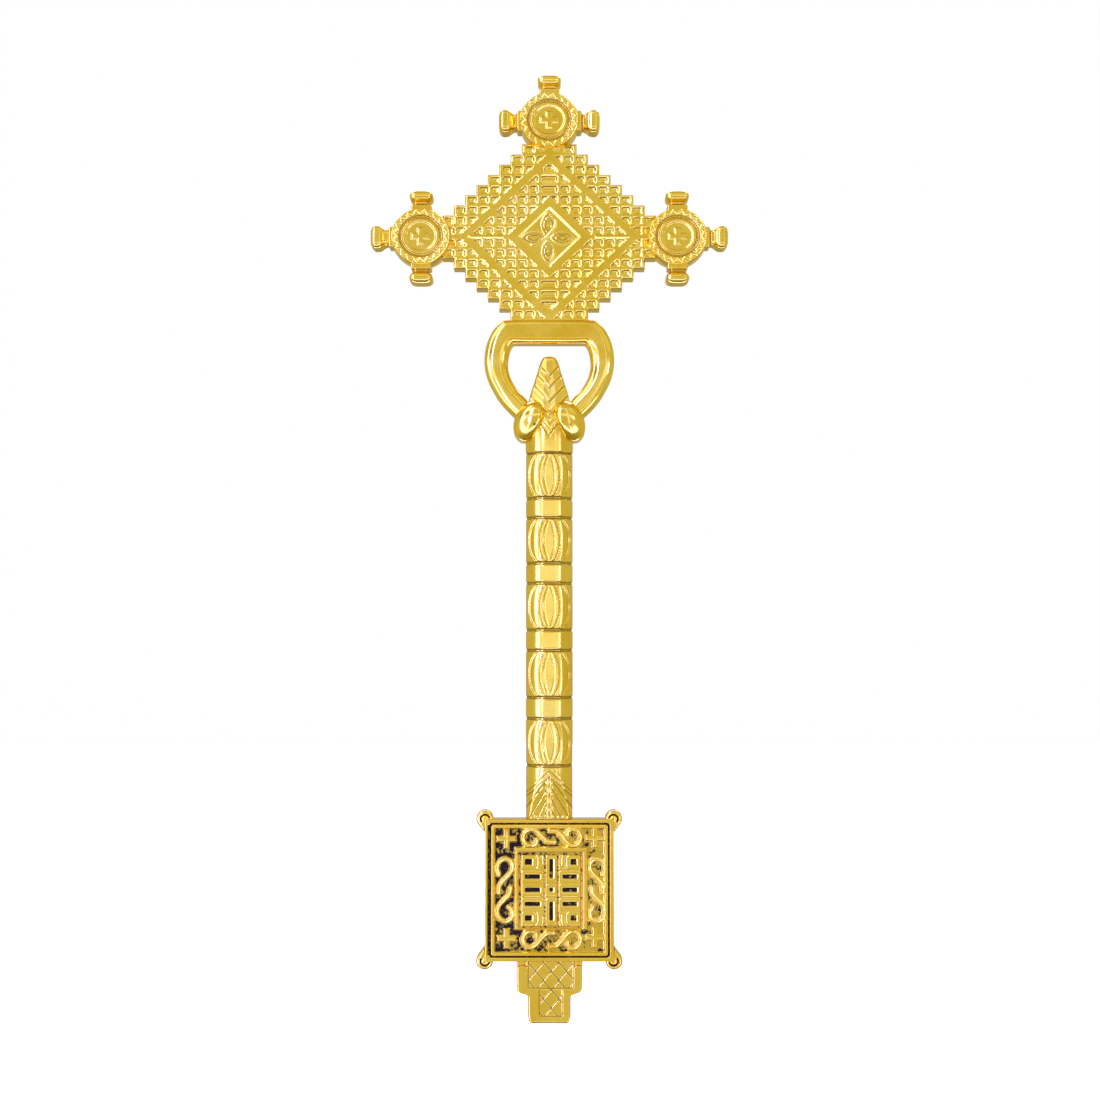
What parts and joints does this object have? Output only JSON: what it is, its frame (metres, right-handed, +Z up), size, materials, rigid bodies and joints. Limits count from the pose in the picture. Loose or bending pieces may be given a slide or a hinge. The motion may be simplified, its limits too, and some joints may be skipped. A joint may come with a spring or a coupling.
{
  "type": "ethiopian hand cross",
  "caption": "Brass hand cross: a stepped lattice diamond with knobbed roundels on a stirrup neck, a round grip shaft, a square relief tablet and a two-step foot.",
  "frame": {"origin": "middle of the underside of the foot, on the axis of the shaft and at half the thickness", "axes": "+Z up along the shaft to the top knob, +X to the right seen from the front, the front faces -Y"},
  "size_m": [0.1266, 0.0194, 0.3333],
  "materials": {
    "polished_brass": "polished yellow brass, fine scratches and a little uneven casting",
    "satin_brass": "satin yellow brass with carved lines",
    "relief_brass": "polished relief over dark patina in the sunk ground"
  },
  "bodies": {
    "root": {"head_plate": "polished_brass", "roundel_top": "polished_brass", "roundel_left": "polished_brass", "roundel_right": "polished_brass", "medallion_top": "satin_brass", "medallion_left": "satin_brass", "medallion_right": "satin_brass", "knob_top_outer": "polished_brass", "knob_top_left": "polished_brass", "knob_top_right": "polished_brass", "knob_left_outer": "polished_brass", "knob_left_upper": "polished_brass", "knob_left_lower": "polished_brass", "knob_right_outer": "polished_brass", "knob_right_upper": "polished_brass", "knob_right_lower": "polished_brass", "stirrup": "polished_brass", "bulb_left": "polished_brass", "bulb_right": "polished_brass", "spike": "satin_brass", "shaft_collar": "polished_brass", "shaft": "polished_brass", "tablet_frame": "polished_brass", "tablet_panel_front": "relief_brass", "tablet_panel_back": "relief_brass", "corner_lug_top_left": "polished_brass", "corner_lug_top_right": "polished_brass", "corner_lug_bottom_left": "polished_brass", "corner_lug_bottom_right": "polished_brass", "foot": "satin_brass"}
  },
  "joints": []
}
